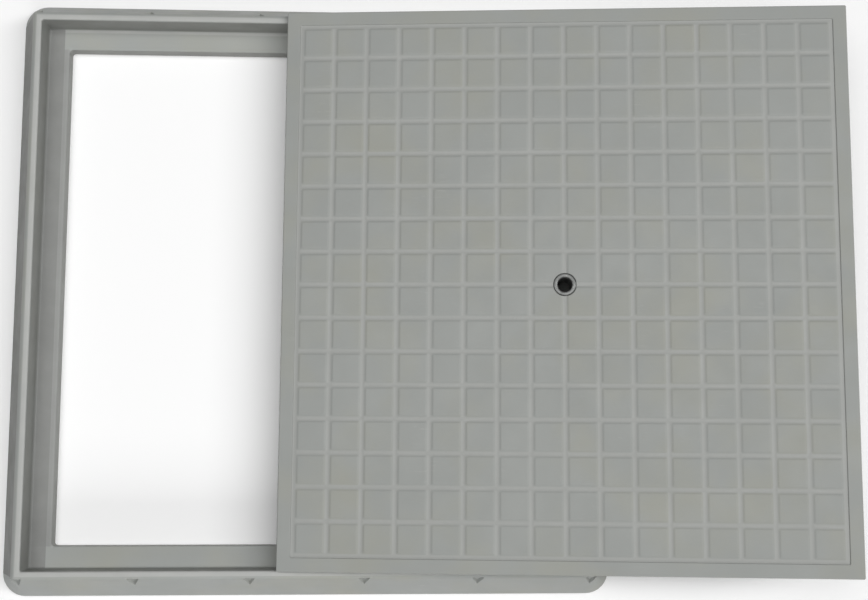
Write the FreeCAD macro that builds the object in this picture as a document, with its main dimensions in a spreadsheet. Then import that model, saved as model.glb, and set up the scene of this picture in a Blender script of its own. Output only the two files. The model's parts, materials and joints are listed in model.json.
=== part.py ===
import FreeCAD, Part
import math
import os
import Sketcher

# Square access cover: a hollow frame with a sloping skirt and a seat, and a ribbed lid that laps its rim.
# The lid lies drawn aside: its left edge is still down on the rims, and its right half rides on the
# right-hand rim. +Z is up, X runs along the way the lid was drawn, and the origin is under the frame's centre.

doc = FreeCAD.newDocument("access_cover")
sizes = doc.addObject("Spreadsheet::Sheet", "sizes")

DRIVING = [
    ("clear_opening", 418, "square hole that the frame leaves"),
    ("seat_width", 17.5, "ledge between the opening and the rebate's wall"),
    ("rim_width", 6, "top of the rim"),
    ("skirt_run", 17.5, "how far the skirt spreads between the rim and the foot"),
    ("frame_height", 38, "foot to rim"),
    ("seat_height", 12, "foot to seat"),
    ("foot_corner_radius", 19, "plan radius of the skirt's corners at the foot"),
    ("rim_edge_radius", 1.5, "rounding of the rim's outer edge"),
    ("frame_skin", 3, "wall of the frame moulding"),
    ("gusset_thickness", 2.5, "webs under the frame"),
    ("gusset_count", 9, "webs across each side"),
    ("notch_count", 6, "triangular notches on each long face"),
    ("notch_inset", 2.5, "middle of the end notches in from the rim's corners"),
    ("notch_width", 10.6, "at the rim"),
    ("notch_length", 14, "down the skirt"),
    ("notch_depth", 2, "into the skin"),
    ("rim_lap", 3.5, "top plate over the rim, each side, when the lid is shut"),
    ("plate_thickness", 6, "top plate at a pad"),
    ("lid_edge_chamfer", 0.8, "round the top plate"),
    ("plate_border", 12.8, "plain strip outside the outermost groove's middle"),
    ("cell_count", 16, "cells along each side"),
    ("groove_width", 3.4, "surface groove"),
    ("groove_depth", 0.8, "surface groove"),
    ("downstand_fit", 4, "gap between downstand and rebate wall, each side"),
    ("seat_gap", 0.3, "left under the downstand when the lid is shut"),
    ("downstand_wall", 4, "downstand"),
    ("lid_rib_thickness", 3, "webs under the lid"),
    ("cells_per_rib", 2, "cells from one web to the next"),
    ("bush_bore", 11.8, "hole for the lifting key"),
    ("bush_wall", 2.1, "sleeve of the bush"),
    ("bush_head_overhang", 1, "head beyond the sleeve, all round"),
    ("bush_head_thickness", 2.5, "head of the bush"),
    ("bush_fit", 0.1, "gap round the bush's sleeve"),
    ("bush_head_fit", 0.5, "gap round the bush's head"),
    ("bush_recess", 0.4, "head below the plate's top"),
    ("boss_wall", 9, "lid's boss round the sleeve"),
    ("drawn_aside", 204.5, "lid's left edge from the left rebate wall"),
    ("drawn_across", 2, "lid's centre off the frame's centre line"),
    ("lid_turn", 0.33, "degrees the lid lies turned, clockwise from above"),
    ("contact_gap", 0.3, "lid above what it rests on"),
]
for row, (name, value, note) in enumerate(DRIVING, start=1):
    sizes.set(f"A{row}", name)
    sizes.set(f"B{row}", str(value))
    sizes.set(f"C{row}", note)
    sizes.setAlias(f"B{row}", name)
doc.recompute()

# Sizes that follow from the driving ones, written as formulas of the sheet's aliases.
REBATE = "({clear_opening} + 2 * {seat_width})"
RIM = f"({REBATE} + 2 * {{rim_width}})"
FOOT = f"({RIM} + 2 * {{skirt_run}})"
LID = f"({REBATE} + 2 * {{rim_lap}})"
SKIRT_ANGLE = "atan({skirt_run} / {frame_height})"
NOTCH_ROW = f"({RIM} - 2 * {{notch_inset}})"
NOTCH_PITCH = f"({NOTCH_ROW} / ({{notch_count}} - 1))"
GUSSET_PITCH = f"({NOTCH_PITCH} / 2)"
GROOVE_ROW = f"({LID} - 2 * {{plate_border}})"
RIB_PITCH = f"({GROOVE_ROW} / {{cell_count}} * {{cells_per_rib}})"
RIB_COUNT = "({cell_count} / {cells_per_rib} - 1)"
DOWNSTAND_SIZE = f"({REBATE} - 2 * {{downstand_fit}})"
DOWNSTAND = "({frame_height} - {seat_height} - {seat_gap})"
SLEEVE = "({bush_bore} + 2 * {bush_wall})"
BUSH_HEAD = f"({SLEEVE} + 2 * {{bush_head_overhang}})"
BOSS = f"({SLEEVE} + 2 * {{bush_fit}} + 2 * {{boss_wall}})"
BUSH_TOP = "({plate_thickness} - {bush_recess})"
HEAD_SEAT = f"({BUSH_TOP} - {{bush_head_thickness}})"


def bind(thing, **formulas):
    """Tie an object's properties to the sheet; the names in each formula are the sheet's aliases."""
    for key, formula in formulas.items():
        thing.setExpression(key, in_sheet(formula))


def in_sheet(formula):
    """The formula with every alias written as the sheet's own cell."""
    for alias in sorted((name for name, _, _ in DRIVING), key=len, reverse=True):
        formula = formula.replace("{" + alias + "}", f"sizes.{alias}")
    return formula


def box(name, width, depth, height, z="0", x="0", y="0"):
    """A Part::Box centred on (x, y) with its underside at z; every size is a formula."""
    made = doc.addObject("Part::Box", name)
    bind(made, Length=width, Width=depth, Height=height)
    bind(made, **{"Placement.Base.x": f"({x}) - ({width}) / 2"})
    bind(made, **{"Placement.Base.y": f"({y}) - ({depth}) / 2", "Placement.Base.z": z})
    return made


def fuse(name, shapes):
    made = doc.addObject("Part::MultiFuse", name)
    made.Shapes = shapes
    return made


def two(kind, name, base, tool):
    """Part::Cut or Part::Common of two objects."""
    made = doc.addObject(f"Part::{kind}", name)
    made.Base, made.Tool = base, tool
    return made


def new_body(name):
    return doc.addObject("PartDesign::Body", name)


def new_sketch(body, name, plane="XY_Plane", height="0"):
    """A sketch on one of the body's own planes, raised by a formula."""
    made = body.newObject("Sketcher::SketchObject", name)
    origin = [o for o in body.Origin.OriginFeatures if o.Role == plane][0]
    made.AttachmentSupport = [(origin, "")]
    made.MapMode = "FlatFace"
    bind(made, **{"AttachmentOffset.Base.z": height})
    return made


def number(formula):
    """The present value of a formula of the sheet's aliases, to start a sketch near its solution."""
    for name, _, _ in DRIVING:
        formula = formula.replace("{" + name + "}", str(float(getattr(sizes, name))))
    probe = doc.addObject("App::FeaturePython", "probe")
    probe.addProperty("App::PropertyFloat", "result")
    probe.setExpression("result", formula)
    probe.recompute()
    value = probe.result
    doc.removeObject(probe.Name)
    return value


def rectangle(sketch, width, depth, x="0", y="0"):
    """A closed rectangle centred on (x, y), each of its sides held by a formula."""
    w, d, cx, cy = number(width) / 2, number(depth) / 2, number(x), number(y)
    corners = [(cx - w, cy - d), (cx + w, cy - d), (cx + w, cy + d), (cx - w, cy + d)]
    points = [FreeCAD.Vector(px, py, 0) for px, py in corners]
    first = sketch.GeometryCount
    for i in range(4):
        sketch.addGeometry(Part.LineSegment(points[i], points[(i + 1) % 4]), False)
    bottom, right, top, left = range(first, first + 4)
    for one, other in ((bottom, right), (right, top), (top, left), (left, bottom)):
        sketch.addConstraint(Sketcher.Constraint("Coincident", one, 2, other, 1))
    for line in (bottom, top):
        sketch.addConstraint(Sketcher.Constraint("Horizontal", line))
    for line in (left, right):
        sketch.addConstraint(Sketcher.Constraint("Vertical", line))
    held = [
        ("DistanceX", bottom, corners[0][0], f"({x}) - ({width}) / 2"),
        ("DistanceY", bottom, corners[0][1], f"({y}) - ({depth}) / 2"),
        ("DistanceX", top, corners[2][0], f"({x}) + ({width}) / 2"),
        ("DistanceY", top, corners[2][1], f"({y}) + ({depth}) / 2"),
    ]
    for kind, line, value, formula in held:
        index = sketch.addConstraint(Sketcher.Constraint(kind, -1, 1, line, 1, value))
        bind(sketch, **{f"Constraints[{index}]": formula})


def rounded_square(sketch, width, radius):
    """A closed square with round corners about the origin: four lines and four tangent arcs."""
    half, r = number(width) / 2, number(radius)
    inner = half - r
    turns = [(1, 1), (-1, 1), (-1, -1), (1, -1)]
    arcs, lines = [], []
    for i, (sx, sy) in enumerate(turns):
        circle = Part.Circle(FreeCAD.Vector(sx * inner, sy * inner, 0), FreeCAD.Vector(0, 0, 1), r)
        start = math.pi / 2 * i
        arcs.append(sketch.addGeometry(Part.ArcOfCircle(circle, start, start + math.pi / 2), False))
    for i, (sx, sy) in enumerate(turns):
        nx, ny = turns[(i + 1) % 4]
        if i % 2 == 0:
            ends = (sx * inner, sy * half), (nx * inner, ny * half)
        else:
            ends = (sx * half, sy * inner), (nx * half, ny * inner)
        points = [FreeCAD.Vector(px, py, 0) for px, py in ends]
        lines.append(sketch.addGeometry(Part.LineSegment(*points), False))
    for i in range(4):
        sketch.addConstraint(Sketcher.Constraint("Tangent", arcs[i], 2, lines[i], 1))
        sketch.addConstraint(Sketcher.Constraint("Tangent", lines[i], 2, arcs[(i + 1) % 4], 1))
    for i, kind in enumerate(("Horizontal", "Vertical", "Horizontal", "Vertical")):
        sketch.addConstraint(Sketcher.Constraint(kind, lines[i]))
    for i in range(1, 4):
        sketch.addConstraint(Sketcher.Constraint("Equal", arcs[0], arcs[i]))
    index = sketch.addConstraint(Sketcher.Constraint("Radius", arcs[0], r))
    bind(sketch, **{f"Constraints[{index}]": radius})
    reach = f"({width}) / 2 - ({radius})"
    held = (("DistanceX", 0, 1), ("DistanceY", 0, 1), ("DistanceX", 2, -1), ("DistanceY", 2, -1))
    for kind, arc, sign in held:
        rule = Sketcher.Constraint(kind, -1, 1, arcs[arc], 3, sign * inner)
        bind(sketch, **{f"Constraints[{sketch.addConstraint(rule)}]": f"{sign} * ({reach})"})


def pad(body, name, sketch, length, down=False, taper=None):
    made = body.newObject("PartDesign::Pad", name)
    made.Profile = sketch
    made.Reversed = down
    bind(made, Length=length)
    if taper:
        bind(made, TaperAngle=taper)
    return made


def pocket(body, name, sketch, length, up=False):
    made = body.newObject("PartDesign::Pocket", name)
    made.Profile = sketch
    made.Reversed = up
    bind(made, Length=length)
    return made


def row_of(body, name, feature, sketch, axis, length, count):
    """A PartDesign::LinearPattern of one feature along a sketch axis, over a whole length."""
    made = body.newObject("PartDesign::LinearPattern", name)
    made.Originals = [feature]
    made.Direction = (sketch, [axis])
    bind(made, Length=length, Occurrences=count)
    body.Tip = made
    return made


# Frame envelope: the skirt leans in from a round-cornered foot to the rim, whose outer edge is rounded.
envelope = new_body("skirt_envelope")
foot = new_sketch(envelope, "foot_outline")
rounded_square(foot, FOOT, "{foot_corner_radius}")
skirt = pad(envelope, "skirt_pad", foot, "{frame_height}", taper=f"-{SKIRT_ANGLE}")
doc.recompute()
rim_edges = [
    f"Edge{i}"
    for i, edge in enumerate(skirt.Shape.Edges, start=1)
    if edge.BoundBox.ZMin > skirt.Shape.BoundBox.ZMax - 0.01
]
rim_round = envelope.newObject("PartDesign::Fillet", "rim_rounding")
rim_round.Base = (skirt, rim_edges)
bind(rim_round, Radius="{rim_edge_radius}")

# Hollow under the skirt and the rim, one skin in from the envelope all round.
hollow = new_body("skirt_hollow")
inner_foot = new_sketch(hollow, "inner_foot_outline")
rounded_square(
    inner_foot,
    f"{FOOT} - 2 * {{frame_skin}} / cos({SKIRT_ANGLE})",
    "{foot_corner_radius} - {frame_skin} / 2",
)
pad(hollow, "hollow_pad", inner_foot, "{frame_height} - {frame_skin}", taper=f"-{SKIRT_ANGLE}")
shell = two("Cut", "skirt_shell", envelope, hollow)

# Seat: the rebate's walls, the ledge and the short wall round the clear opening, with webs across the hollow.
wall_outside = f"{REBATE} + 2 * {{frame_skin}}"
seat_under = "{seat_height} - {frame_skin}"
seat_block = box("seat_block", wall_outside, wall_outside, f"{{frame_height}} - ({seat_under})", z=seat_under)
throat = "{clear_opening} + 2 * {frame_skin}"
throat_block = box("throat_block", throat, throat, "{seat_height}")
webs = []
for k in range(int(sizes.gusset_count)):
    place = f"({k} - ({{gusset_count}} - 1) / 2) * {GUSSET_PITCH}"
    height = "{frame_height} - {frame_skin} / 2"
    webs.append(box(f"web_x_{k}", FOOT, "{gusset_thickness}", height, y=place))
    webs.append(box(f"web_y_{k}", "{gusset_thickness}", FOOT, height, x=place))
inside = two("Common", "frame_inside", envelope, fuse("frame_core", [seat_block, throat_block] + webs))
moulding = fuse("frame_moulding", [shell, inside])

# Triangular notches in a row down the two long faces of the skirt, point downwards.
notches = new_body("notch_row")
notch_sketch = new_sketch(notches, "notch_outline")
width, length = number("{notch_width}"), number("{notch_length}")
first_x = number(f"0 - {NOTCH_ROW} / 2")
tips = [(first_x - width / 2, 0), (first_x + width / 2, 0), (first_x, -length)]
tip_points = [FreeCAD.Vector(px, py, 0) for px, py in tips]
for i in range(3):
    notch_sketch.addGeometry(Part.LineSegment(tip_points[i], tip_points[(i + 1) % 3]), False)
for i in range(3):
    notch_sketch.addConstraint(Sketcher.Constraint("Coincident", i, 2, (i + 1) % 3, 1))
FIRST_NOTCH = f"0 - {NOTCH_ROW} / 2"
notch_rules = [
    ("DistanceX", 0, tips[0][0], FIRST_NOTCH + " - {notch_width} / 2"),
    ("DistanceX", 1, tips[1][0], FIRST_NOTCH + " + {notch_width} / 2"),
    ("DistanceX", 2, tips[2][0], FIRST_NOTCH),
    ("DistanceY", 2, tips[2][1], "0 - {notch_length}"),
]
for kind, line, value, formula in notch_rules:
    index = notch_sketch.addConstraint(Sketcher.Constraint(kind, -1, 1, line, 1, value))
    bind(notch_sketch, **{f"Constraints[{index}]": formula})
for line in (0, 1):
    notch_sketch.addConstraint(Sketcher.Constraint("PointOnObject", line, 1, -1))
notch_pad = pad(notches, "notch_pad", notch_sketch, "2 * {notch_depth}")
notch_pad.Midplane = True
row_of(notches, "notch_pattern", notch_pad, notch_sketch, "H_Axis", NOTCH_ROW, "{notch_count}")
# the row hangs from the rim's rounded edge and lies in the skirt's slope
NOTCH_DROP = "{rim_edge_radius}"
notches.Placement.Rotation = FreeCAD.Rotation(FreeCAD.Vector(1, 0, 0), 1)
bind(notches, **{
    "Placement.Base.y": f"0 - {RIM} / 2 - {NOTCH_DROP} * {{skirt_run}} / {{frame_height}}",
    "Placement.Base.z": f"{{frame_height}} - {NOTCH_DROP}",
    "Placement.Rotation.Angle": f"90 deg - {SKIRT_ANGLE}",
})
far_notches = doc.addObject("Part::Mirroring", "far_notch_row")
far_notches.Source = notches
far_notches.Normal = FreeCAD.Vector(0, 1, 0)

rebate = box("rebate", REBATE, REBATE, "{frame_height}", z="{seat_height}")
opening = box("opening", "{clear_opening}", "{clear_opening}", "3 * {frame_height}", z="0 - {frame_height}")
frame_cuts = fuse("frame_cuts", [rebate, opening, notches, far_notches])
frame = two("Cut", "frame", moulding, frame_cuts)

# Lid: a plate with square pads between grooves above, and a downstand with crossed webs below.
# Its own origin is the middle of the plate's underside.
lid = new_body("cover")
plate_sketch = new_sketch(lid, "plate_outline")
rectangle(plate_sketch, LID, LID)
plate = pad(lid, "plate", plate_sketch, "{plate_thickness}")
doc.recompute()
top_edges = [
    f"Edge{i}"
    for i, edge in enumerate(plate.Shape.Edges, start=1)
    if edge.BoundBox.ZMin > plate.Shape.BoundBox.ZMax - 0.01
]
plate_edge = lid.newObject("PartDesign::Chamfer", "plate_edge")
plate_edge.Base = (plate, top_edges)
bind(plate_edge, Size="{lid_edge_chamfer}")

downstand_sketch = new_sketch(lid, "downstand_outline")
rectangle(downstand_sketch, DOWNSTAND_SIZE, DOWNSTAND_SIZE)
inner_size = f"{DOWNSTAND_SIZE} - 2 * {{downstand_wall}}"
rectangle(downstand_sketch, inner_size, inner_size)
pad(lid, "downstand", downstand_sketch, DOWNSTAND, down=True)

RIB_ROW = f"(({RIB_COUNT} - 1) * {RIB_PITCH})"
rib_length = f"{DOWNSTAND_SIZE} - {{downstand_wall}}"
for along in ("X", "Y"):
    web_sketch = new_sketch(lid, f"web_outline_{along}")
    if along == "X":
        rectangle(web_sketch, rib_length, "{lid_rib_thickness}", y=f"0 - {RIB_ROW} / 2")
    else:
        rectangle(web_sketch, "{lid_rib_thickness}", rib_length, x=f"0 - {RIB_ROW} / 2")
    web = pad(lid, f"web_{along}", web_sketch, DOWNSTAND, down=True)
    step_axis = "V_Axis" if along == "X" else "H_Axis"
    row_of(lid, f"webs_{along}", web, web_sketch, step_axis, RIB_ROW, RIB_COUNT)

boss_sketch = new_sketch(lid, "boss_outline")
boss_circle = Part.Circle(FreeCAD.Vector(0, 0, 0), FreeCAD.Vector(0, 0, 1), number(BOSS) / 2)
boss_sketch.addGeometry(boss_circle, False)
boss_sketch.addConstraint(Sketcher.Constraint("Coincident", 0, 3, -1, 1))
boss_rule = boss_sketch.addConstraint(Sketcher.Constraint("Diameter", 0, number(BOSS)))
bind(boss_sketch, **{f"Constraints[{boss_rule}]": BOSS})
pad(lid, "boss", boss_sketch, DOWNSTAND, down=True)

groove_length = f"{GROOVE_ROW} + {{groove_width}}"
for along in ("X", "Y"):
    groove_sketch = new_sketch(lid, f"groove_outline_{along}", height="{plate_thickness}")
    if along == "X":
        rectangle(groove_sketch, groove_length, "{groove_width}", y=f"0 - {GROOVE_ROW} / 2")
    else:
        rectangle(groove_sketch, "{groove_width}", groove_length, x=f"0 - {GROOVE_ROW} / 2")
    groove = pocket(lid, f"groove_{along}", groove_sketch, "{groove_depth}")
    step_axis = "V_Axis" if along == "X" else "H_Axis"
    row_of(lid, f"grooves_{along}", groove, groove_sketch, step_axis, GROOVE_ROW, "{cell_count} + 1")


def round_pocket(name, diameter, top, depth):
    """A round hole about the lid's centre, from a height down."""
    sketch = new_sketch(lid, f"{name}_outline", height=top)
    circle = Part.Circle(FreeCAD.Vector(0, 0, 0), FreeCAD.Vector(0, 0, 1), number(diameter) / 2)
    sketch.addGeometry(circle, False)
    sketch.addConstraint(Sketcher.Constraint("Coincident", 0, 3, -1, 1))
    rule = sketch.addConstraint(Sketcher.Constraint("Diameter", 0, number(diameter)))
    bind(sketch, **{f"Constraints[{rule}]": diameter})
    return pocket(lid, name, sketch, depth)


round_pocket(
    "head_recess", f"{BUSH_HEAD} + 2 * {{bush_head_fit}}", "{plate_thickness}",
    "{bush_recess} + {bush_head_thickness}",
)
round_pocket(
    "bush_hole", f"{SLEEVE} + 2 * {{bush_fit}}", "{plate_thickness}",
    f"{{plate_thickness}} + 2 * {DOWNSTAND}",
)

# Lifting bush: a headed metal sleeve in the lid's boss, which the lifting key goes through.
bush_parts = []
for name, diameter, foot_z, height in (
    ("bush_head", BUSH_HEAD, HEAD_SEAT, "{bush_head_thickness}"),
    ("bush_sleeve", SLEEVE, f"0 - {DOWNSTAND}", f"{DOWNSTAND} + {HEAD_SEAT}"),
):
    cylinder = doc.addObject("Part::Cylinder", name)
    bind(cylinder, Radius=f"{diameter} / 2", Height=height, **{"Placement.Base.z": foot_z})
    bush_parts.append(cylinder)
bore = doc.addObject("Part::Cylinder", "bush_bore_cut")
bind(bore, Radius="{bush_bore} / 2", Height=f"3 * {DOWNSTAND}", **{"Placement.Base.z": f"0 - 2 * {DOWNSTAND}"})
bush = two("Cut", "lifting_bush", fuse("bush_solid", bush_parts), bore)

# Where the lid lies: its underside's left edge is on the rims, and its downstand is on the right rim's inner
# edge, so the lean follows from how deep the downstand is and how far the lid is drawn aside.
LEAN = f"asin({DOWNSTAND} / ({REBATE} - {{drawn_aside}}))"
TURN = "(0 deg - {lid_turn} * 1 deg)"
LEFT_EDGE = f"({{drawn_aside}} - {REBATE} / 2)"
for resting in (lid, bush):
    bind(resting, **{
        "Placement.Base.x": f"{LEFT_EDGE} + {LID} / 2 * cos({LEAN}) * cos({TURN})",
        "Placement.Base.y": "{drawn_across}",
        "Placement.Base.z": f"{{frame_height}} + {{contact_gap}} + {LID} / 2 * sin({LEAN})",
        "Placement.Rotation": "create(<<rotation>>; create(<<vector>>; 0; 0; 1); " + TURN
        + ") * create(<<rotation>>; create(<<vector>>; 0; 1; 0); 0 deg - " + LEAN + ")",
    })

NODES = {"frame": frame, "cover": lid, "lifting_bush": bush}
for label, node in NODES.items():
    node.Label = label
doc.recompute()
for thing in doc.Objects:
    if "Invalid" in thing.State or "Error" in thing.State:
        raise RuntimeError(f"{thing.Name} did not build: {thing.State}")
for label, node in NODES.items():
    shape = node.Shape
    if shape.isNull() or not shape.isValid() or len(shape.Solids) != 1:
        raise RuntimeError(f"{label} is not one valid solid")

os.makedirs("parts", exist_ok=True)
for label, node in NODES.items():
    node.Shape.exportStep(f"parts/{label}.step")
    box_of = node.Shape.BoundBox
    print(label, f"{node.Shape.Volume / 1000:.1f} cm3", box_of)
print("lid lies at", lid.Placement)
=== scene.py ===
import json
import math

import bmesh
import bpy
from mathutils import Matrix, Vector


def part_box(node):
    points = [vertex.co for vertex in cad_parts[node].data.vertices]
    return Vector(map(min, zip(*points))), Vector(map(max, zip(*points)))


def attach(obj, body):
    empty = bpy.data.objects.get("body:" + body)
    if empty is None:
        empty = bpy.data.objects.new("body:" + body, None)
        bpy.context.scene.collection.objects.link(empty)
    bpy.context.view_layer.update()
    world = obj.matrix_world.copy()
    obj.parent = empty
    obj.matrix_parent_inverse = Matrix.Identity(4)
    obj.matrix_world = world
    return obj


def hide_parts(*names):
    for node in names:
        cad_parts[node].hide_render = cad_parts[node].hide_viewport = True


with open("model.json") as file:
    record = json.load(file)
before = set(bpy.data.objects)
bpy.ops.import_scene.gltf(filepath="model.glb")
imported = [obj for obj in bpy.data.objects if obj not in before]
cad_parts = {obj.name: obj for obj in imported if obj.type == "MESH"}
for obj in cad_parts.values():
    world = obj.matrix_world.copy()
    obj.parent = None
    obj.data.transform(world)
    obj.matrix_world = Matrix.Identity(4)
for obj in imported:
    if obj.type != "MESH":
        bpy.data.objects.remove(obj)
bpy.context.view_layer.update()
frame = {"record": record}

# Studio: a plain pale floor and the view of the object from above, with the camera a little to the near
# side of the frame and tilted to take in the cover that was drawn off to the right. The floor is wide, so
# that it fades out before its edge.
floor_size = 40.0
bpy.ops.mesh.primitive_plane_add(size=floor_size)
floor = bpy.context.object
floor.name = "floor"
floor_paint = bpy.data.materials.new("pale_floor")
floor_paint.use_nodes = True
floor_shader = floor_paint.node_tree.nodes["Principled BSDF"]
floor_shader.inputs["Base Color"].default_value = (0.97, 0.97, 0.97, 1)
floor_shader.inputs["Roughness"].default_value = 0.9
floor.data.materials.append(floor_paint)

camera_data = bpy.data.cameras.new("camera")
camera_data.sensor_width = 36
camera_data.lens = 49.02
camera_tilt = (6.625, -2.669, 0.054)
camera = bpy.data.objects.new("camera", camera_data)
camera.location = (0.0570, -0.1204, 1.0061)
camera.rotation_euler = [math.radians(angle) for angle in camera_tilt]
bpy.context.scene.collection.objects.link(camera)
bpy.context.scene.camera = camera
bpy.context.scene.view_settings.view_transform = "Standard"


def soft_light(name, place, aim, width, depth, power):
    """A rectangular softbox at a place, turned to face a point."""
    data = bpy.data.lights.new(name, "AREA")
    data.shape = "RECTANGLE"
    data.size = width
    data.size_y = depth
    data.energy = power
    light = bpy.data.objects.new(name, data)
    light.location = place
    light.rotation_euler = (Vector(aim) - Vector(place)).to_track_quat("-Z", "Y").to_euler()
    bpy.context.scene.collection.objects.link(light)


soft_light("side_softbox", place=(3.0, 0.3, 5.0), aim=(0.1, 0, 0), width=1.8, depth=5.3, power=215)
soft_light("overhead_softbox", place=(-0.5, 0.25, 2.4), aim=(-0.1, 0, 0), width=1.4, depth=1.4, power=23)
soft_light("low_front_softbox", place=(0.1, -4.0, 2.0), aim=(0.1, 0, 0), width=3.3, depth=1.3, power=66)
world = bpy.data.worlds.new("studio_air")
world.use_nodes = True
world.node_tree.nodes["Background"].inputs["Color"].default_value = (1, 1, 1, 1)
world.node_tree.nodes["Background"].inputs["Strength"].default_value = 0.05
bpy.context.scene.world = world


# Polypropylene: both mouldings are light grey, dull and finely textured by the spark-eroded mould, with
# scuffs from handling, and with marks painted into the colour for painted shade, painted highlights and paler
# groove floors.
MM = 0.001


def noise(tree, place, scale, detail, roughness=0.55):
    """A noise texture on an already mapped place, and its value."""
    node = tree.nodes.new("ShaderNodeTexNoise")
    tree.links.new(place, node.inputs["Vector"])
    node.inputs["Scale"].default_value = scale
    node.inputs["Detail"].default_value = detail
    node.inputs["Roughness"].default_value = roughness
    return node.outputs["Fac"]


def spread(tree, value, low, high, to_low, to_high):
    """A value taken from one range to another, held at its ends."""
    node = tree.nodes.new("ShaderNodeMapRange")
    tree.links.new(value, node.inputs["Value"])
    for socket, number in (("From Min", low), ("From Max", high), ("To Min", to_low), ("To Max", to_high)):
        node.inputs[socket].default_value = number
    return node.outputs["Result"]


def tint(tree, amount, under, over):
    """A mix of two colours, each a socket or a plain colour."""
    node = tree.nodes.new("ShaderNodeMix")
    node.data_type = "RGBA"
    tree.links.new(amount, node.inputs["Factor"])
    for socket, colour in (("A", under), ("B", over)):
        target = [s for s in node.inputs if s.name == socket and s.type == "RGBA"][0]
        if isinstance(colour, tuple):
            target.default_value = (*colour, 1)
        else:
            tree.links.new(colour, target)
    return [s for s in node.outputs if s.type == "RGBA"][0]


def times(tree, one, other):
    """The product of two values."""
    node = tree.nodes.new("ShaderNodeMath")
    node.operation = "MULTIPLY"
    tree.links.new(one, node.inputs[0])
    tree.links.new(other, node.inputs[1])
    return node.outputs[0]


def laid_place(tree, lie=None):
    """Object coordinates, turned and centred to a piece's own lie so that patterns follow it."""
    where = tree.nodes.new("ShaderNodeTexCoord")
    mapping = tree.nodes.new("ShaderNodeMapping")
    mapping.vector_type = "TEXTURE"
    if lie:
        mapping.inputs["Location"].default_value = lie.to_translation()
        mapping.inputs["Rotation"].default_value = lie.to_euler()
    tree.links.new(where.outputs["Object"], mapping.inputs["Vector"])
    return mapping.outputs["Vector"]


def inside_box(tree, place, low, high):
    """1 inside a box of a place, falling away within a few tenths of a millimetre of its faces."""
    parts = tree.nodes.new("ShaderNodeSeparateXYZ")
    tree.links.new(place, parts.inputs[0])
    soft = 0.3 * MM
    inside = None
    for axis, start, end in zip("XYZ", low, high):
        for edge, outer in ((start, start - soft), (end, end + soft)):
            side = spread(tree, parts.outputs[axis], outer, edge, 0, 1)
            inside = times(tree, inside, side) if inside else side
    return inside


def bumped(tree, height, strength, distance, over=None):
    """A surface normal raised by a height, over another normal if one is given."""
    bump = tree.nodes.new("ShaderNodeBump")
    bump.inputs["Strength"].default_value = strength
    bump.inputs["Distance"].default_value = distance
    tree.links.new(height, bump.inputs["Height"])
    if over:
        tree.links.new(over, bump.inputs["Normal"])
    return bump.outputs["Normal"]


def moulded_polymer(name, colour, shade, pale, marks, lie=None):
    """Dull grey moulded plastic: cloudy and faintly yellowed colour, pale scuffs, a fine spark texture and
    worn gloss, with marks of (colour, lowest and highest corner) painted into the colour, for painted shade
    and painted highlights among others."""
    material = bpy.data.materials.new(name)
    material.use_nodes = True
    tree = material.node_tree
    shader = tree.nodes["Principled BSDF"]
    place = laid_place(tree, lie)
    clouds = spread(tree, noise(tree, place, scale=9, detail=4), 0.35, 0.68, 0, 1)
    base = tint(tree, clouds, colour, shade)
    stretched = tree.nodes.new("ShaderNodeMapping")
    stretched.inputs["Scale"].default_value = (90, 700, 90)
    stretched.inputs["Rotation"].default_value = (0, 0, math.radians(24))
    tree.links.new(place, stretched.inputs["Vector"])
    streaks = noise(tree, stretched.outputs["Vector"], scale=1, detail=3)
    patches = spread(tree, noise(tree, place, scale=22, detail=2), 0.56, 0.7, 0, 1)
    scuffs = times(tree, spread(tree, streaks, 0.6, 0.74, 0, 0.6), patches)
    base = tint(tree, scuffs, base, pale)
    yellowed = tuple(part * cast for part, cast in zip(colour, (1.02, 0.99, 0.9)))
    base = tint(tree, spread(tree, noise(tree, place, scale=15, detail=3), 0.45, 0.7, 0, 0.7), base, yellowed)
    patchy = spread(tree, noise(tree, place, scale=60, detail=3), 0.3, 0.7, 0.7, 1)
    for mark, low, high in marks:
        base = tint(tree, times(tree, inside_box(tree, place, low, high), patchy), base, mark)
    tree.links.new(base, shader.inputs["Base Color"])
    gloss = spread(tree, noise(tree, place, scale=40, detail=3), 0.3, 0.7, 0.5, 0.66)
    tree.links.new(gloss, shader.inputs["Roughness"])
    shader.inputs["Specular IOR Level"].default_value = 0.4
    ripple = bumped(tree, noise(tree, place, scale=28, detail=2), 0.25, 0.6 * MM)
    grain = bumped(tree, noise(tree, place, scale=1500, detail=2, roughness=0.6), 0.22, 0.2 * MM, ripple)
    tree.links.new(grain, shader.inputs["Normal"])
    return material


# Frame: one injection moulding, a skin swept round a square. From outside to inside it is a sloping skirt,
# a narrow rim, the rebate's wall, the seat that the cover stands on and the wall of the clear opening.
frame_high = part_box("frame")[1]
foot_half = frame_high.x
rim_top = frame_high.z
skirt_run = 17.5 * MM
rim_width = 6 * MM
rebate_half = foot_half - skirt_run - rim_width
seat_width = 17.5 * MM
opening_half = rebate_half - seat_width
seat_top = 12 * MM
skin = 3 * MM
foot_corner = 19 * MM
rim_corner = 1.6 * MM
opening_corner = 2.6 * MM
inner_corner = 3 * MM
hold = 0.25 * MM


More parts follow.
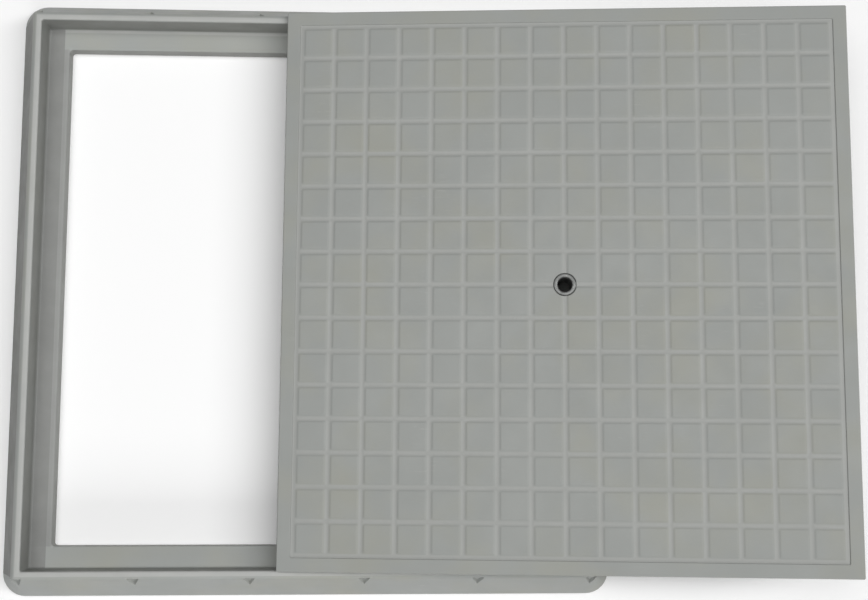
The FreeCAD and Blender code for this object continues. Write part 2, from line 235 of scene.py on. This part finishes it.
def rounded_outline(corners, steps):
    """The closed outline of (half width, height, edge radius, plan radius) corners with round edges. A
    holding point beside each edge keeps the flat beyond it flat when the mesh is shaded smooth."""
    outline = []
    count = len(corners)
    for i, (x, z, radius, plan) in enumerate(corners):
        corner = Vector((x, z))
        before = Vector(corners[i - 1][:2]) - corner
        after = Vector(corners[(i + 1) % count][:2]) - corner
        into, out = before.normalized(), after.normalized()
        half_angle = into.angle(out) / 2
        reach = radius / math.tan(half_angle)
        centre = corner + (into + out).normalized() * (radius / math.sin(half_angle))
        start = corner + into * reach - centre
        turn = start.angle_signed(corner + out * reach - centre)
        points = [corner + into * (reach + hold)]
        for k in range(steps + 1):
            points.append(centre + Matrix.Rotation(-turn * k / steps, 2) @ start)
        points.append(corner + out * (reach + hold))
        outline += [(p.x, p.y, plan) for p in points]
    return outline


def square_ring(half, height, plan_radius, steps):
    """Points of a round-cornered square, with a holding point at each end of each side."""
    ring = []
    middle = half - plan_radius
    for quarter in range(4):
        turn = Matrix.Rotation(math.pi / 2 * quarter, 2)
        ring.append(turn @ Vector((half, middle - hold)))
        for k in range(steps + 1):
            angle = math.pi / 2 * k / steps
            across, along = plan_radius * math.cos(angle), plan_radius * math.sin(angle)
            ring.append(turn @ Vector((middle + across, middle + along)))
        ring.append(turn @ Vector((middle - hold, half)))
    return [Vector((p.x, p.y, height)) for p in ring]


def skinned(name, rings, closed):
    """A mesh object whose skin joins one ring of points to the next, closed on itself or capped."""
    mesh = bmesh.new()
    rows = [[mesh.verts.new(p) for p in ring] for ring in rings]
    pairs = list(zip(rows, rows[1:] + rows[:1])) if closed else list(zip(rows, rows[1:]))
    for low, high in pairs:
        for k in range(len(low)):
            following = (k + 1) % len(low)
            mesh.faces.new((low[k], low[following], high[following], high[k]))
    if not closed:
        mesh.faces.new(list(reversed(rows[0])))
        mesh.faces.new(rows[-1])
    bmesh.ops.recalc_face_normals(mesh, faces=mesh.faces)
    data = bpy.data.meshes.new(name)
    mesh.to_mesh(data)
    mesh.free()
    return bpy.data.objects.new(name, data)


foot_lip = 2.2 * MM
inside_foot = foot_half - skin / math.cos(math.atan(skirt_run / rim_top))
under_rim = rim_top - skin
inside_rim = inside_foot - skirt_run * under_rim / rim_top
frame_corners = [
    (foot_half, 0.0, 0.5 * MM, foot_corner),
    (foot_half - 0.2 * MM, foot_lip, 0.9 * MM, foot_corner),
    (rebate_half + rim_width, rim_top, 4.5 * MM, rim_corner),
    (rebate_half, rim_top, 1.3 * MM, rim_corner),
    (rebate_half, seat_top, 1.6 * MM, rim_corner),
    (opening_half, seat_top, 1.5 * MM, opening_corner),
    (opening_half, 0.0, 0.5 * MM, opening_corner),
    (opening_half + skin, 0.0, 0.5 * MM, inner_corner),
    (opening_half + skin, seat_top - skin, 0.8 * MM, inner_corner),
    (rebate_half + skin, seat_top - skin, 0.6 * MM, inner_corner),
    (rebate_half + skin, under_rim, 0.2 * MM, inner_corner),
    (inside_rim, under_rim, 0.2 * MM, inner_corner),
    (inside_foot, 0.0, 0.5 * MM, foot_corner - 2 * MM),
]
corner_steps = 8
edge_steps = 4
outline = rounded_outline(frame_corners, edge_steps)
frame_rings = [square_ring(half, height, plan, corner_steps) for half, height, plan in outline]
frame_skin = skinned("frame_skin", frame_rings, closed=True)


def fresh_tree(name, sizes):
    """An empty geometry tree with named inputs, (kind, name) each; returns it, its inputs and its output."""
    tree = bpy.data.node_groups.new(name, "GeometryNodeTree")
    tree.interface.new_socket("Geometry", in_out="INPUT", socket_type="NodeSocketGeometry")
    for kind, socket in sizes:
        tree.interface.new_socket(socket, in_out="INPUT", socket_type=f"NodeSocket{kind}")
    tree.interface.new_socket("Geometry", in_out="OUTPUT", socket_type="NodeSocketGeometry")
    return tree, tree.nodes.new("NodeGroupInput").outputs, tree.nodes.new("NodeGroupOutput").inputs


def add_node(tree, kind, inputs, **settings):
    """A node of a tree with its settings made and its named inputs given a value or a link."""
    node = tree.nodes.new(kind)
    for key, value in settings.items():
        setattr(node, key, value)
    for key, value in inputs.items():
        if isinstance(value, bpy.types.NodeSocket):
            tree.links.new(value, node.inputs[key])
        else:
            node.inputs[key].default_value = value
    return node


def realized(tree, geometry):
    """Instances made real geometry."""
    return add_node(tree, "GeometryNodeRealizeInstances", {"Geometry": geometry}).outputs[0]


def shape_of(tree, thing):
    """The geometry of an object that a tree is given."""
    return add_node(tree, "GeometryNodeObjectInfo", {"Object": thing}).outputs["Geometry"]


def joined_solid(tree, solids):
    """One solid out of several that overlap."""
    union = add_node(tree, "GeometryNodeMeshBoolean", {}, operation="UNION", solver="EXACT")
    for solid in solids:
        tree.links.new(solid, union.inputs["Mesh 2"])
    return union.outputs[0]


def cut_solid(tree, solid, tools):
    """A solid with the room of the tools taken out of it."""
    cut = add_node(tree, "GeometryNodeMeshBoolean", {"Mesh 1": solid}, operation="DIFFERENCE", solver="EXACT")
    tree.links.new(tools, cut.inputs["Mesh 2"])
    return cut.outputs[0]


def finished(tree, geometry, material, output):
    """The end of each tree: real geometry in its own material."""
    solid = realized(tree, geometry)
    painted = add_node(tree, "GeometryNodeSetMaterial", {"Geometry": solid, "Material": material})
    tree.links.new(painted.outputs[0], output)


def sharpened(data):
    """Smooth shading, except where a mesh turns a clear edge."""
    clear_turn = math.radians(32)
    data.shade_smooth()
    data.set_sharp_from_angle(angle=clear_turn)


def grown(name, tree, start, values, lie=None):
    """The plain mesh that a tree makes from a start object and its named values, put where it lies."""
    seed = bpy.data.objects.new(f"{name}_seed", start.data)
    bpy.context.scene.collection.objects.link(seed)
    modifier = seed.modifiers.new("grow", "NODES")
    modifier.node_group = tree
    for item in tree.interface.items_tree:
        if item.in_out == "INPUT" and item.name in values:
            modifier[item.identifier] = values[item.name]
    evaluated = seed.evaluated_get(bpy.context.evaluated_depsgraph_get())
    data = bpy.data.meshes.new_from_object(evaluated)
    bpy.data.objects.remove(seed)
    data.name = name
    if lie:
        data.transform(lie)
    sharpened(data)
    piece = bpy.data.objects.new(name, data)
    bpy.context.scene.collection.objects.link(piece)
    return piece


# Webs: thin plates moulded with the frame stand under it on all four sides to stiffen the skirt. They run
# from the opening's wall out to the skirt, behind the notches and between them.
web_thickness = 2.5 * MM
notch_count = 6
notch_inset = 2.5 * MM
notch_pitch = 2 * (rebate_half + rim_width - notch_inset) / (notch_count - 1)
web_count = 9
web_foot = 0.4 * MM
web_side = [
    (opening_half + skin / 2, web_foot),
    (inside_foot + skin / 4, web_foot),
    (inside_rim + skin / 4, under_rim + skin / 3),
    (rebate_half + skin / 2, under_rim + skin / 3),
    (rebate_half + skin / 2, seat_top - skin / 2),
    (opening_half + skin / 2, seat_top - skin / 2),
]


def extruded(name, outline, thickness, draft):
    """A flat plate standing on its outline in X and Z, its two faces drawn in a little for the mould."""
    middle = sum((Vector(p) for p in outline), Vector((0, 0))) / len(outline)
    rings = []
    face = thickness / 2
    for y, inset in ((-face, draft), (-face + draft, 0), (face - draft, 0), (face, draft)):
        ring = []
        for p in outline:
            inward = (middle - Vector(p)).normalized() * inset
            ring.append(Vector((p[0] + inward.x, y, p[1] + inward.y)))
        rings.append(ring)
    return skinned(name, rings, closed=False)


web_draft = 0.3 * MM
web = extruded("web", web_side, web_thickness, web_draft)

# Notches: triangular marks moulded into the skirt below the rim, at even steps along the near and the far
# face, for the surround to grip. Each has sloping flanks and runs down to a point.
notch_width = 10.6 * MM
notch_length = 14 * MM
notch_depth = 2 * MM
skirt_slope = math.atan(skirt_run / rim_top)
notch_corners = [(-notch_width / 2, 0.0), (notch_width / 2, 0.0), (0.0, -notch_length)]


def notch_ring(depth, spread_out):
    """The notch's triangle at a depth into the skirt, grown about its middle."""
    middle = Vector((0, -notch_length / 3))
    ring = []
    for corner in notch_corners:
        p = middle + (Vector(corner) - middle) * spread_out
        ring.append(Vector((p.x, -depth, p.y)))
    return ring


inner_spread, outer_spread = 0.7, 1.25
notch_rings = [notch_ring(-notch_depth, inner_spread), notch_ring(notch_depth, outer_spread)]
notch_tool = skinned("notch_tool", notch_rings, closed=False)
notch_drop = 0.4 * MM
notch_start = -rebate_half - rim_width - notch_drop * math.tan(skirt_slope)
notch_lie = Matrix.Translation((0, notch_start, rim_top - notch_drop))
notch_tool.data.transform(notch_lie @ Matrix.Rotation(-skirt_slope, 4, "X"))


def in_a_row(tree, thing, count, pitch, axis):
    """Instances of an object in a centred row along one axis."""
    less_one = add_node(tree, "ShaderNodeMath", {0: count, 1: 1.0}, operation="SUBTRACT")
    length = add_node(tree, "ShaderNodeMath", {0: less_one.outputs[0], 1: pitch}, operation="MULTIPLY")
    start = add_node(tree, "ShaderNodeMath", {0: length.outputs[0], 1: -0.5}, operation="MULTIPLY")
    first = add_node(tree, "ShaderNodeCombineXYZ", {axis: start.outputs[0]})
    step = add_node(tree, "ShaderNodeCombineXYZ", {axis: pitch})
    line = add_node(tree, "GeometryNodeMeshLine", {
        "Count": count, "Start Location": first.outputs[0], "Offset": step.outputs[0],
    })
    row = add_node(tree, "GeometryNodeInstanceOnPoints", {
        "Points": line.outputs[0], "Instance": shape_of(tree, thing),
    })
    return row.outputs["Instances"]


def turned_copies(tree, row, count):
    """The row repeated round the square: count copies at even turns."""
    copies = tree.nodes.new("GeometryNodeJoinGeometry")
    for k in range(count):
        turned = add_node(tree, "GeometryNodeTransform", {
            "Geometry": row, "Rotation": (0, 0, 2 * math.pi * k / count),
        })
        tree.links.new(turned.outputs[0], copies.inputs[0])
    return copies.outputs[0]


frame_tree, given, made = fresh_tree("frame_webs_and_notches", [
    ("Object", "Web"), ("Object", "Notch"), ("Int", "Webs a side"), ("Float", "Web pitch"),
    ("Int", "Notches a face"), ("Float", "Notch pitch"), ("Material", "Plastic"),
])
web_row = in_a_row(frame_tree, given["Web"], given["Webs a side"], given["Web pitch"], "Y")
webs = realized(frame_tree, turned_copies(frame_tree, web_row, count=4))
notch_row = in_a_row(frame_tree, given["Notch"], given["Notches a face"], given["Notch pitch"], "X")
notches = realized(frame_tree, turned_copies(frame_tree, notch_row, count=2))
with_webs = joined_solid(frame_tree, [given["Geometry"], webs])
notched = cut_solid(frame_tree, with_webs, notches)
finished(frame_tree, notched, given["Plastic"], made["Geometry"])

# Painted highlights: the rim top and a line of the seat along its far wall are painted pale. Painted shade:
# the left seat is painted darker, most of all outside a strip along its inner edge, and so is the left skirt;
# the upright walls of the rebate and of the opening and a band along the foot are painted darker too.
painted_highlight = (0.43, 0.435, 0.42)
left_seat_shade = (0.275, 0.279, 0.27)
wall_and_foot_shade = (0.235, 0.239, 0.224)
left_seat_shadow = (0.225, 0.228, 0.22)
left_skirt_shade = (0.19, 0.193, 0.182)
rim_highlight_half = rebate_half + 4 * MM
line_start, line_end = rebate_half - 2.4 * MM, rebate_half - 0.4 * MM
lit_strip = 4.5 * MM
wall_skin = 0.6 * MM
throat_half = opening_half + wall_skin
wall_half = rebate_half + wall_skin
corner_centre = foot_half - foot_corner
skirt_start = rebate_half + rim_width + 2 * MM
foot_shade_height = 1.8 * MM
seat_low, seat_high = seat_top - MM, seat_top + MM
frame_marks = [
    # Painted highlight: the rim top is painted pale.
    (painted_highlight, (-rim_highlight_half, -rim_highlight_half, rim_top - MM), (rim_highlight_half, rim_highlight_half, rim_top)),
    # Painted highlight: a line of the seat along its far wall is painted pale.
    (painted_highlight, (-rebate_half, line_start, seat_low), (rebate_half, line_end, seat_high)),
    # Painted shade: the left seat is painted darker.
    (left_seat_shade, (-rebate_half, -opening_half, seat_low), (-opening_half, opening_half, seat_high)),
    # Painted shade: the left skirt, which faces away from the light, is painted darker.
    (left_skirt_shade, (-foot_half, -corner_centre, 0), (-skirt_start, corner_centre, rim_top - 3 * MM)),
    # Painted shadow: the left seat, but for a strip along its inner edge, is painted darker still, as the
    # left wall's shadow.
    (left_seat_shadow, (-rebate_half, -rebate_half, seat_low), (-opening_half - lit_strip, rebate_half, seat_high)),
    # Painted shade: the wall of the opening is painted darker.
    (wall_and_foot_shade, (-throat_half, -throat_half, 0), (throat_half, throat_half, seat_top - 1.2 * MM)),
    # Painted shade: the rebate's wall is painted darker.
    (wall_and_foot_shade, (-wall_half, -wall_half, seat_top + 2 * MM), (wall_half, wall_half, rim_top - 2.4 * MM)),
    # Painted shade: a band along the foot, where it meets the floor, is painted darker.
    (wall_and_foot_shade, (-foot_half, -foot_half, 0), (foot_half, foot_half, foot_shade_height)),
]
frame_plastic = moulded_polymer(
    "frame_polymer", colour=(0.345, 0.357, 0.343), shade=(0.325, 0.338, 0.326), pale=(0.43, 0.437, 0.42),
    marks=frame_marks,
)
frame_moulding = grown("frame_moulding", frame_tree, frame_skin, {
    "Web": web, "Notch": notch_tool, "Webs a side": web_count, "Web pitch": notch_pitch / 2,
    "Notches a face": notch_count, "Notch pitch": notch_pitch, "Plastic": frame_plastic,
})
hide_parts("frame")
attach(frame_moulding, "frame")


# Cover: one moulding, a plate whose top is cut into square pads by a grid of shallow grooves, with a
# downstand and crossed webs beneath. It lies leaning on the frame; its hole gives the middle and the lean.
hole = [m for m in frame["record"]["mounts"] if m["name"] == "lifting_bore"][0]
cover_up = Vector(hole["axis"])
plate_top = 6 * MM
bush_recess = 0.4 * MM
seat_gap = 0.3 * MM
downstand_depth = rim_top - seat_top - seat_gap
hole_middle = (plate_top - bush_recess - downstand_depth) / 2
cover_lean = math.acos(cover_up.z)
cover_turn = math.atan2(-cover_up.y, -cover_up.x)
cover_lie = (
    Matrix.Translation(Vector(hole["pos_m"]) - cover_up * hole_middle)
    @ Matrix.Rotation(cover_turn, 4, "Z")
    @ Matrix.Rotation(-cover_lean, 4, "Y")
)
rim_lap = 3.5 * MM
cover_half = rebate_half + rim_lap
cell_count = 16
border = 12.8 * MM
cell_pitch = 2 * (cover_half - border) / cell_count
groove_width = 3.4 * MM
groove_depth = 0.8 * MM
groove_floor = plate_top - groove_depth
plate_round = 0.8 * MM
plate_corner = 1.2 * MM
border_inside = cover_half - border + groove_width / 2


def stacked(name, levels, steps):
    """A closed solid of round-cornered squares, (half width, height, plan radius) from the bottom up."""
    rings = [square_ring(half, z, plan, steps) for half, z, plan in levels]
    return skinned(name, rings, closed=False)


plate = stacked("plate", [
    (cover_half - 0.4 * MM - hold, 0.0, 1.0 * MM),
    (cover_half - 0.4 * MM, 0.0, 1.0 * MM),
    (cover_half, 0.4 * MM, plate_corner),
    (cover_half, 0.4 * MM + hold, plate_corner),
    (cover_half, plate_top - plate_round - hold, plate_corner),
    (cover_half, plate_top - plate_round, plate_corner),
    (cover_half - 0.12 * plate_round, plate_top - 0.62 * plate_round, plate_corner),
    (cover_half - 0.38 * plate_round, plate_top - 0.29 * plate_round, 1.1 * MM),
    (cover_half - 0.71 * plate_round, plate_top - 0.08 * plate_round, 1.0 * MM),
    (cover_half - plate_round, plate_top, 1.0 * MM),
    (cover_half - plate_round - hold, plate_top, 1.0 * MM),
    (border_inside + 0.3 * MM + hold, plate_top, plate_corner),
    (border_inside + 0.3 * MM, plate_top, plate_corner),
    (border_inside + 0.08 * MM, plate_top - 0.12 * MM, plate_corner),
    (border_inside, plate_top - 0.35 * MM, plate_corner),
    (border_inside - 0.2 * MM, groove_floor, plate_corner),
    (border_inside - 0.2 * MM - hold, groove_floor, plate_corner),
], steps=5)
pad_half = (cell_pitch - groove_width) / 2
pad_corner = 1.3 * MM
pad = stacked("pad", [
    (pad_half + 0.6 * MM, groove_floor - 0.4 * MM, pad_corner),
    (pad_half + 0.5 * MM, groove_floor, pad_corner),
    (pad_half - 0.9 * MM, plate_top - 0.16 * MM, pad_corner),
    (pad_half - 1.4 * MM, plate_top - 0.05 * MM, 1.2 * MM),
    (pad_half - 2.0 * MM, plate_top, 1.0 * MM),
    (pad_half - 2.0 * MM - hold, plate_top, 1.0 * MM),
], steps=3)


def turned_rings(levels, steps):
    """Rings of points round the upright axis, one for each (radius, height)."""
    angles = [2 * math.pi * k / steps for k in range(steps)]
    rings = []
    for radius, z in levels:
        rings.append([Vector((radius * math.cos(a), radius * math.sin(a), z)) for a in angles])
    return rings


sleeve_radius = 8 * MM
head_radius = 9 * MM
head_thickness = 2.5 * MM
head_room = 0.35 * MM
sleeve_room = 0.1 * MM
turned_steps = 64
drill_overrun = 5 * MM
head_seat = plate_top - bush_recess - head_thickness
drill_radius = sleeve_radius + sleeve_room
recess_radius = head_radius + head_room
recess_edge = 0.4 * MM
drill = skinned("drill", turned_rings([
    (drill_radius, -downstand_depth - drill_overrun),
    (drill_radius, head_seat),
    (recess_radius, head_seat),
    (recess_radius, plate_top - recess_edge),
    (recess_radius + recess_edge, plate_top),
    (recess_radius + recess_edge, plate_top + drill_overrun),
], turned_steps), closed=False)
boss_wall = 9 * MM
boss_radius = drill_radius + boss_wall
boss = skinned("boss", turned_rings([
    (boss_radius - 0.6 * MM, -downstand_depth),
    (boss_radius - 0.3 * MM, -downstand_depth + 0.5 * MM),
    (boss_radius + 0.4 * MM, plate_top / 2),
], turned_steps), closed=False)

wall = 4 * MM
downstand_fit = 4 * MM
downstand_half = rebate_half - downstand_fit
downstand = skinned("downstand", [
    square_ring(half, z, plan, steps=5) for half, z, plan in (
        (downstand_half - wall + 0.6 * MM, -downstand_depth, 2 * MM),
        (downstand_half - 0.5 * MM, -downstand_depth, 3 * MM),
        (downstand_half, -downstand_depth + 0.5 * MM, 3 * MM),
        (downstand_half, plate_top / 2, 3 * MM),
        (downstand_half - wall - 0.4 * MM, plate_top / 2, 2 * MM),
        (downstand_half - wall, -downstand_depth + 0.6 * MM, 2 * MM),
    )
], closed=True)
rib_thickness = 3 * MM
rib_reach = downstand_half - wall / 2
rib_ends = [
    (-rib_reach, -downstand_depth),
    (rib_reach, -downstand_depth),
    (rib_reach, plate_top / 2),
    (-rib_reach, plate_top / 2),
]
rib = extruded("rib", rib_ends, rib_thickness, web_draft)
cells_per_rib = 2
rib_count = cell_count // cells_per_rib - 1
rib_step_up = 0.15 * MM

cover_tree, given, made = fresh_tree("cover_pads_and_webs", [
    ("Object", "Pad"), ("Int", "Cells a side"), ("Float", "Cell pitch"),
    ("Object", "Rib"), ("Int", "Ribs each way"), ("Float", "Rib pitch"),
    ("Object", "Downstand"), ("Object", "Boss"), ("Object", "Drill"), ("Material", "Plastic"),
])
less_one = add_node(cover_tree, "ShaderNodeMath", {0: given["Cells a side"], 1: 1.0}, operation="SUBTRACT")
field = add_node(
    cover_tree, "ShaderNodeMath", {0: less_one.outputs[0], 1: given["Cell pitch"]}, operation="MULTIPLY"
)
cells = add_node(cover_tree, "GeometryNodeMeshGrid", {
    "Size X": field.outputs[0], "Size Y": field.outputs[0],
    "Vertices X": given["Cells a side"], "Vertices Y": given["Cells a side"],
})
pads = add_node(cover_tree, "GeometryNodeInstanceOnPoints", {
    "Points": cells.outputs["Mesh"], "Instance": shape_of(cover_tree, given["Pad"]),
})
ribs = in_a_row(cover_tree, given["Rib"], given["Ribs each way"], given["Rib pitch"], "Y")
crossing_ribs = add_node(cover_tree, "GeometryNodeTransform", {
    "Geometry": ribs, "Rotation": (0, 0, math.pi / 2), "Translation": (0, 0, rib_step_up),
})
cover_parts = [given["Geometry"]]
for rows in (pads.outputs[0], ribs, crossing_ribs.outputs[0]):
    cover_parts.append(realized(cover_tree, rows))
for name in ("Downstand", "Boss"):
    cover_parts.append(shape_of(cover_tree, given[name]))
drilled = cut_solid(cover_tree, joined_solid(cover_tree, cover_parts), shape_of(cover_tree, given["Drill"]))
finished(cover_tree, drilled, given["Plastic"], made["Geometry"])

# The groove floors are painted paler than the pads, and the upright edge of the plate is painted dark as
# painted shade.
pale_groove_floor = (0.335, 0.342, 0.328)
painted_edge_shade = (0.16, 0.165, 0.157)
grid_half = cover_half - border + groove_width
edge_half = cover_half + MM
groove_mark_low, groove_mark_high = groove_floor - 0.3 * MM, groove_floor + 0.1 * MM
cover_marks = [
    # The groove floors are painted paler than the pads.
    (pale_groove_floor, (-grid_half, -grid_half, groove_mark_low), (grid_half, grid_half, groove_mark_high)),
    # Painted shade: the upright edge of the plate is painted dark.
    (painted_edge_shade, (-edge_half, -edge_half, 0.3 * MM), (edge_half, edge_half, plate_top - 1.4 * MM)),
]
cover_plastic = moulded_polymer(
    "cover_polymer", colour=(0.305, 0.316, 0.302), shade=(0.287, 0.298, 0.286), pale=(0.37, 0.376, 0.36),
    marks=cover_marks, lie=cover_lie,
)
cover_moulding = grown("cover_moulding", cover_tree, plate, {
    "Pad": pad, "Cells a side": cell_count, "Cell pitch": cell_pitch, "Rib": rib, "Ribs each way": rib_count,
    "Rib pitch": cell_pitch * cells_per_rib, "Downstand": downstand, "Boss": boss, "Drill": drill,
    "Plastic": cover_plastic,
}, cover_lie)
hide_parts("cover")
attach(cover_moulding, "cover")


# Lifting bush: a steel sleeve with a thin head, turned on a lathe. It drops into the boss until its head
# sits in the recess of the plate, and the lifting key goes through it.
bore_radius = hole["dims"]["r_mm"] * MM
bush_top = plate_top - bush_recess
bush_outline = [
    (bore_radius + 0.6 * MM, -downstand_depth),
    (sleeve_radius - 0.6 * MM, -downstand_depth),
    (sleeve_radius, -downstand_depth + 0.6 * MM),
    (sleeve_radius, head_seat - hold),
    (sleeve_radius, head_seat),
    (head_radius - 0.2 * MM, head_seat),
    (head_radius, head_seat + 0.2 * MM),
    (head_radius, bush_top - 0.6 * MM),
    (head_radius - 0.25 * MM, bush_top - 0.2 * MM),
    (head_radius - 0.7 * MM, bush_top),
    (bore_radius + 0.9 * MM, bush_top),
    (bore_radius + 0.3 * MM, bush_top - 0.25 * MM),
    (bore_radius, bush_top - 0.9 * MM),
    (bore_radius, -downstand_depth + 0.6 * MM),
]
steel_bush = skinned("steel_bush", turned_rings(bush_outline, turned_steps), closed=True)
steel_bush.data.transform(cover_lie)
sharpened(steel_bush.data)
bpy.context.scene.collection.objects.link(steel_bush)
bush_steel = bpy.data.materials.new("turned_steel")
bush_steel.use_nodes = True
steel_tree = bush_steel.node_tree
steel_shader = steel_tree.nodes["Principled BSDF"]
steel_shader.inputs["Metallic"].default_value = 0.6
steel_place = laid_place(steel_tree, cover_lie)
tarnished, worn = (0.14, 0.144, 0.14), (0.21, 0.214, 0.208)
wear = spread(steel_tree, noise(steel_tree, steel_place, scale=160, detail=4), 0.35, 0.65, 0, 1)
steel_tree.links.new(tint(steel_tree, wear, tarnished, worn), steel_shader.inputs["Base Color"])
gloss = spread(steel_tree, noise(steel_tree, steel_place, scale=400, detail=3), 0.3, 0.7, 0.38, 0.55)
steel_tree.links.new(gloss, steel_shader.inputs["Roughness"])
steel_bush.data.materials.append(bush_steel)
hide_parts("lifting_bush")
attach(steel_bush, "cover")
